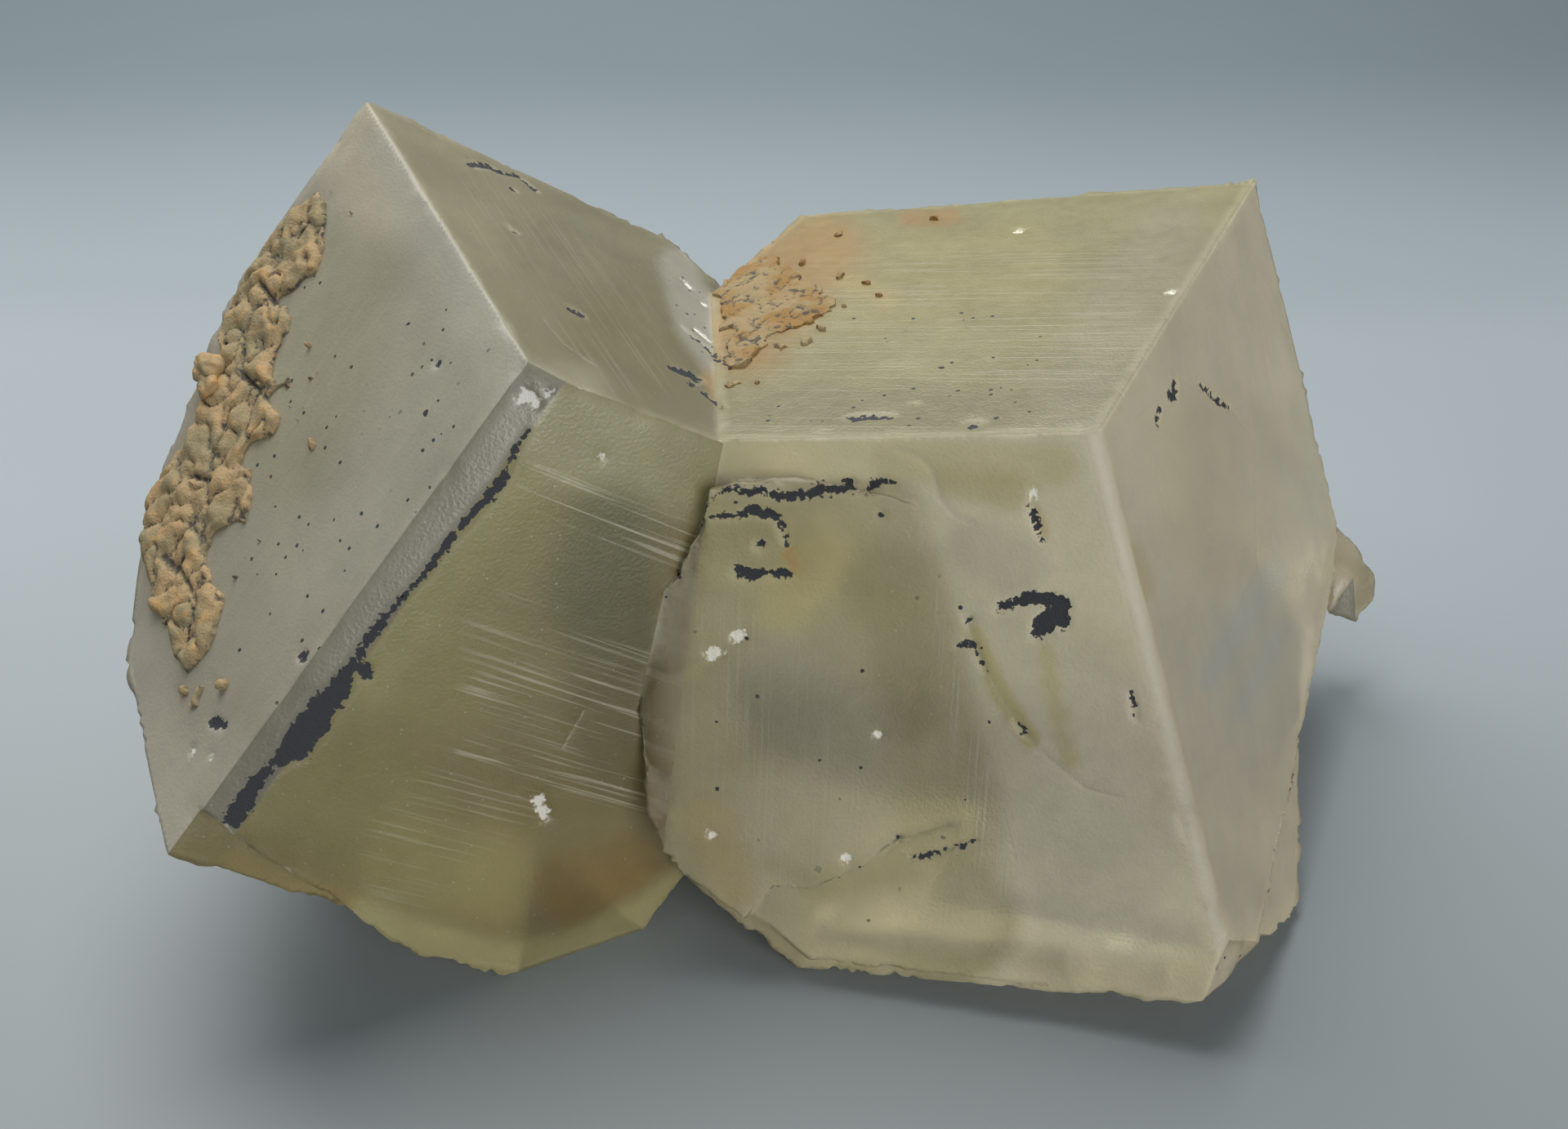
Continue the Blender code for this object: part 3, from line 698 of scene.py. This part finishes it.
def paint_corners(mesh):
    """Paints the tint, growth lines and soot on the corners of the crystal's triangles."""
    face_kinds = np.empty(len(mesh.polygons), np.int32)
    mesh.attributes["kind"].data.foreach_get("value", face_kinds)
    kinds = np.repeat(face_kinds, 3)
    verts = np.empty(len(mesh.loops), np.int32)
    mesh.loops.foreach_get("vertex_index", verts)
    places = np.empty(len(mesh.vertices) * 3)
    mesh.vertices.foreach_get("co", places)
    places = places.reshape(-1, 3)
    points = pixels(places)[verts]
    normals = np.repeat(np.array([face.normal for face in mesh.polygons]), 3, axis=0)
    places = places[verts] / MM
    mesh.color_attributes.new("tint", "FLOAT_COLOR", "CORNER").data.foreach_set(
        "color", corner_tints(points, kinds, places, normals).astype(np.float32).ravel())
    mesh.attributes.new("growth", "FLOAT_VECTOR", "CORNER").data.foreach_set(
        "vector", growth_places(places, kinds).astype(np.float32).ravel())
    for name, areas in (("soot", SOOT), ("lines", LINES)):
        add_values(mesh, name, scatter(points, kinds, areas), "CORNER")


def add_crystal():
    shape = crystal_mesh()
    gaps = wear(shape)
    made = new_object("calcite_body", shape, calcite_finish(), 38)
    for mark, values in gaps.items():
        add_values(made.data, mark, np.minimum(values, 4.0))
    paint_corners(made.data)
    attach(made, "root")
    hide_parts("calcite_twin")


# The crusts' outlines on the crystal, their clefts, and the loose bits beside them, in px.
SIDE_OUTLINE = [
    (390, 230), (400, 250), (397, 300), (390, 335), (372, 345), (345, 366), (360, 385), (352, 410),
    (340, 440), (334, 462), (352, 470), (330, 486), (345, 510), (337, 532), (310, 546), (292, 568),
    (310, 575), (308, 612), (303, 645), (285, 640), (266, 655), (252, 680), (262, 704), (277, 730),
    (272, 760), (258, 795), (230, 825), (210, 805), (204, 770), (187, 745), (178, 700), (172, 665),
    (176, 625), (200, 580), (226, 545), (246, 500), (270, 430), (273, 395), (287, 365), (307, 330),
    (332, 290), (360, 255),
]
SIDE_CLEFTS = [
    [(357, 258, 2), (347, 295, 2)], [(382, 275, 2), (370, 292, 2)],
    [(322, 348, 2), (340, 374, 3), (360, 357, 3), (374, 343, 3)],
    [(303, 415, 1), (300, 460, 3), (315, 474, 3), (332, 492, 1)], [(336, 442, 1), (352, 404, 1)],
    [(233, 584, 2), (262, 590, 2)], [(286, 636, 2), (291, 618, 2), (305, 642, 1)],
    [(218, 672, 2), (250, 626, 1)], [(204, 682, 3), (221, 701, 4), (231, 684, 2)],
    [(205, 765, 2), (211, 803, 2), (230, 828, 2)], [(228, 826, 2), (252, 808, 1), (272, 775, 1)],
    [(180, 650, 1), (200, 640, 1)], [(222, 690, 1), (246, 740, 1), (232, 790, 1)],
]
SIDE_BITS = [
    (226, 846, 9), (246, 843, 10), (240, 862, 8), (277, 836, 10), (380, 465, 8), (388, 458, 6),
    (380, 425, 5), (371, 500, 4), (382, 546, 5), (410, 361, 5), (407, 232, 6), (432, 260, 4),
    (290, 706, 5), (300, 700, 4), (262, 686, 6), (243, 712, 8), (352, 470, 8), (305, 690, 4),
    (366, 512, 4), (356, 500, 5), (318, 660, 5), (336, 590, 3),
]
SIDE_NUBS = [(280, 452, 1.1), (276, 474, 0.9)]  # radius in mm
NOTCH_OUTLINE = [
    (877, 357), (900, 333), (935, 313), (958, 314), (968, 332), (1000, 352), (1022, 364),
    (1015, 388), (975, 402), (945, 412), (928, 436), (908, 450), (886, 456), (888, 405),
]
NOTCH_CLEFTS = [[(886, 452, 2), (889, 420, 1)]]
NOTCH_BITS = [(1025, 288, 7), (1010, 300, 6), (1080, 362, 6), (1057, 347, 7), (1048, 300, 5),
              (905, 472, 8), (922, 470, 7), (1000, 405, 7), (1140, 268, 7), (985, 322, 8),
              (1040, 375, 6), (985, 420, 6), (955, 425, 7), (1030, 340, 6), (900, 490, 5)]
# In mm: the crusts' mesh cell, how deep they sink in, how wide their clefts are, how soon they
# reach full height from their rim, and the size of their lumps' seams.
CRUST_CELL, CRUST_SINK, CLEFT_WIDTH, RIM_WIDTH, SEAM_SIZE = 0.22, 0.35, 0.22, 0.75, 1.7


class FacePlane:
    """A crystal face's plane, with two directions in it, for laying out a crust."""

    def __init__(self, face, spot):
        self.normal = Vector(FACES[face]).normalized()
        self.origin = on_crystal(*spot)
        self.first = self.normal.orthogonal().normalized()
        self.second = self.normal.cross(self.first)

    def flat(self, x, y):
        """The place in the plane at a pixel, in mm along the two directions."""
        view = ray(x, y)
        step = EYE + view * ((self.origin - EYE).dot(self.normal) / view.dot(self.normal))
        step -= self.origin
        return step.dot(self.first) / MM, step.dot(self.second) / MM

    def place(self, first, second, height):
        """The point at a place in the plane, so high above it; all in mm."""
        flat = self.first * first + self.second * second + self.normal * height
        return self.origin + flat * MM


def flat_reach(points, strokes, plane):
    """The distance in mm from flat points to the nearest of some strokes."""
    scale = (plane.origin - EYE).length / FOCAL_PIXELS / MM
    laid = [[(*plane.flat(x, y), width * scale) for x, y, width in stroke] for stroke in strokes]
    return np.min([reach(points, stroke) for stroke in laid], axis=0)


def inside_depth(points, outline):
    """How deep each flat point lies inside an outline; negative outside."""
    rim = np.min([reach(points, [(*a, 0), (*b, 0)])
                  for a, b in zip(outline, outline[1:] + outline[:1])], axis=0)
    hit = np.zeros(len(points), bool)
    for (x0, y0), (x1, y1) in zip(outline, outline[1:] + outline[:1]):
        crosses = (y0 > points[:, 1]) != (y1 > points[:, 1])
        share = (points[:, 1] - y0) / ((y1 - y0) or 1e-9)
        hit ^= crosses & (points[:, 0] < x0 + (x1 - x0) * share)
    return np.where(hit, rim, -rim)


def crust_heights(flats, plane, outline, clefts, bits, thickness, raggedness):
    """The crust's height above the face at flat points, and how near each is to a cleft."""
    depth = inside_depth(flats, [plane.flat(x, y) for x, y in outline])
    loose = -flat_reach(flats, [[bit] for bit in bits], plane)
    cleft = flat_reach(flats, clefts, plane)
    seams = [abs(noise.noise(Vector((*flat, 4)) / SEAM_SIZE)) * 2.2 for flat in flats]
    cleft = np.minimum(cleft, np.array(seams) - 0.02)
    heights = []
    for i, (first, second) in enumerate(flats):
        spot = Vector((first, second, 0))
        ragged = 0.40 * noise.noise(spot / 1.5) + 0.16 * noise.noise(spot / 0.55)
        rise = max(depth[i], loose[i] * 0.8) + ragged * raggedness
        place = plane.place(first, second, 0)
        off_face = crystal_surface.find_nearest(place)[3] / MM
        rise = min(rise, sharp_edges.find(place)[2] / MM + 0.1) - max(0.0, off_face - 0.1) * 6
        lumps = 0.62 + 0.42 * noise.noise(spot / 1.9 + Vector((0, 0, 7)))
        lumps += 0.20 * noise.noise(spot / 0.7) + 0.07 * noise.noise(spot / 0.28)
        dome = math.sqrt(max(0.0, 1 - (1 - min(1.0, max(0.0, rise) / RIM_WIDTH)) ** 2))
        height = thickness * dome * lumps
        height *= 1 - 0.85 * math.exp(-max(0.0, cleft[i] + 0.05) / CLEFT_WIDTH)
        heights.append(height if rise > 0 else -1.0)
    return heights, cleft


def add_nub(shape, x, y, radius, height_layer, cleft_layer):
    """A round lump of crust that stands out past the crystal's edge at a pixel."""
    centre = on_crystal(x, y) - Vector((1.2, -0.2, 0.1)) * radius * MM
    made = bmesh.ops.create_icosphere(shape, subdivisions=4, radius=radius * MM)["verts"]
    for vert in made:
        lump = vert.co.normalized()
        broad = noise.noise(lump * 1.6 + Vector((x, 0, 0)))
        vert.co *= 1 + 0.30 * broad + 0.10 * noise.noise(lump * 5)
        vert[height_layer], vert[cleft_layer] = 0.75, 1.0
    bmesh.ops.translate(shape, verts=made, vec=centre)


def add_crust(name, node, finish, plane, outline, clefts, bits, thickness, raggedness,
              nubs=()):
    """A lumpy crust on a crystal's face, with clefts and loose bits, sunk a little into it."""
    flat = np.array([plane.flat(x, y) for x, y in outline]
                    + [plane.flat(x, y) for x, y, _ in bits])
    low, high = flat.min(0) - 1.0, flat.max(0) + 1.0
    shape = bmesh.new()
    cells = [round(span / CRUST_CELL) for span in high - low]
    bmesh.ops.create_grid(shape, x_segments=cells[0], y_segments=cells[1], size=0.5)
    bmesh.ops.scale(shape, verts=shape.verts, vec=(*(high - low), 1))
    bmesh.ops.translate(shape, verts=shape.verts, vec=(*((high + low) / 2), 0))
    flats = np.array([v.co.xy for v in shape.verts])
    heights, cleft = crust_heights(flats, plane, outline, clefts, bits, thickness, raggedness)
    height_layer = shape.verts.layers.float.new("height")
    cleft_layer = shape.verts.layers.float.new("cleft")
    for vert, height, near in zip(shape.verts, heights, cleft):
        vert[height_layer], vert[cleft_layer] = height, near
    bare = [f for f in shape.faces if min(v[height_layer] for v in f.verts) < 0]
    bmesh.ops.delete(shape, geom=bare, context="FACES")
    for _ in range(2):
        rim = [v for v in shape.verts if v.is_boundary]
        bmesh.ops.smooth_vert(shape, verts=rim, factor=0.5, use_axis_x=True, use_axis_y=True)
    grown = bmesh.ops.extrude_face_region(shape, geom=shape.faces[:], use_keep_orig=True)
    upper = {item for item in grown["geom"] if isinstance(item, bmesh.types.BMVert)}
    for vert in shape.verts:
        height = vert[height_layer] if vert in upper else -CRUST_SINK
        vert.co = plane.place(vert.co.x, vert.co.y, height)
    for x, y, radius in nubs:
        add_nub(shape, x, y, radius, height_layer, cleft_layer)
    bmesh.ops.recalc_face_normals(shape, faces=shape.faces)
    made = new_object(name, shape, finish, 60)
    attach(made, "root")
    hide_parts(node)


def crust_finish(name, pale, deep, bright):
    """A matt earthy crust: mottled, brighter orange on its lumps' tops, partly a painted highlight,
    black in its clefts.
    """
    finish, place = new_finish(name)
    height, cleft = painted(place, "height"), painted(place, "cleft")
    colour = place.noise(0.35).blend_of(pale, deep, 0.40, 0.62)
    # The lumps' tops turn a brighter orange: partly the crust's own colour, partly a painted
    # highlight.
    orange_and_highlight_crests = place.noise(0.8).step(0.50, 0.66) * height.step(0.25, 0.7)
    colour = colour.blend(bright, orange_and_highlight_crests * 0.75)
    colour = colour.scaled(place.noise(3.5, 5.0) * 0.4 + 0.8)
    dark = 1 - (cleft + (place.noise(2.5) - 0.5) * 0.6).step(-0.06, 0.14)
    pits = place.noise(1.6).step(0.57, 0.66) * (1 - height.step(0.20, 0.50))
    colour = colour.blend(CRUST_CLEFT, dark.math("MAXIMUM", dark * 0.9, pits * 0.8))
    bump = place.node("Bump", (), {"Strength": 0.5, "Distance": 0.0002,
                                   "Height": place.noise(6.0, 5.0)})
    surface = place.node("BsdfPrincipled", (), {
        "Base Color": colour, "Roughness": place.noise(2.0) * 0.2 + 0.72, "Normal": bump})
    place.node("OutputMaterial", (), {"Surface": surface})
    return finish


def add_crusts():
    add_crust("side_crust_lumps", "side_crust",
              crust_finish("ochre crust", (0.34, 0.24, 0.12, 1), (0.25, 0.205, 0.11, 1),
                           (0.50, 0.29, 0.105, 1)),
              FacePlane("left_side", (330, 620)), SIDE_OUTLINE, SIDE_CLEFTS, SIDE_BITS,
              0.85, 1.0, SIDE_NUBS)
    add_crust("notch_crust_lumps", "notch_crust",
              crust_finish("orange crust", (0.29, 0.22, 0.11, 1), (0.26, 0.15, 0.042, 1),
                           (0.40, 0.175, 0.036, 1)),
              FacePlane("right_top", (1000, 450)), NOTCH_OUTLINE, NOTCH_CLEFTS, NOTCH_BITS,
              0.55, 2.4)


def floor_finish():
    """A pale table with painted shade: a little darker in front, and fading to a darker grey behind
    its far edge.
    """
    finish, place = new_finish("pale floor")
    depth = place.dot((0.0, 1.0, 0.0))
    # Painted shade: darker towards the front, and darker again far behind.
    near = depth.blend_of((0.19, 0.215, 0.225, 1), (0.30, 0.345, 0.372, 1), -60.0, 45.0)
    middle = near.blend((0.27, 0.315, 0.345, 1), depth.step(66.0, 86.0))
    colour = middle.blend((0.155, 0.195, 0.215, 1), depth.step(80.0, 170.0))
    surface = place.node("BsdfPrincipled", (), {
        "Base Color": colour.scaled(place.noise(0.02) * 0.1 + 0.95), "Roughness": 0.55})
    place.node("OutputMaterial", (), {"Surface": surface})
    return finish


def add_floor():
    shape = bmesh.new()
    bmesh.ops.create_grid(shape, x_segments=8, y_segments=8, size=1.6)
    new_object("floor", shape, floor_finish(), 30)


def add_light(name, place, power):
    """A square softbox that points at the crystal; its place in metres, its power in watts."""
    lamp = bpy.data.lights.new(name, "AREA")
    lamp.shape, lamp.size, lamp.energy = "SQUARE", 0.30, power
    lamp.color = (1.0, 0.98, 0.95)
    holder = bpy.data.objects.new(name, lamp)
    holder.location = place
    towards = Vector((0, 0, 0.02)) - Vector(place)
    holder.rotation_euler = towards.to_track_quat("-Z", "Y").to_euler()
    bpy.context.scene.collection.objects.link(holder)


def add_camera():
    """The photograph's camera."""
    lens = bpy.data.cameras.new("camera")
    lens.sensor_width = 36.0
    lens.lens = lens.sensor_width * FOCAL_PIXELS / PHOTO_WIDTH
    lens.clip_start = 0.005
    holder = bpy.data.objects.new("camera", lens)
    holder.location = EYE
    holder.rotation_euler = (LEAN, 0, 0)
    bpy.context.scene.collection.objects.link(holder)
    bpy.context.scene.camera = holder


def add_studio():
    """Soft, slightly blue daylight, a softbox behind the crystals and one in front of them."""
    bpy.context.scene.view_settings.view_transform = "Standard"
    world = bpy.data.worlds.new("studio")
    world.use_nodes = True
    sky = world.node_tree.nodes["Background"].inputs
    sky["Color"].default_value, sky["Strength"].default_value = (0.62, 0.70, 0.76, 1), 0.25
    bpy.context.scene.world = world
    add_light("softbox", (-0.08, 0.16, 0.36), 2.15)
    add_light("front fill", (0.22, -0.38, 0.14), 1.42)


add_camera()
add_studio()
add_floor()
add_crystal()
add_crusts()
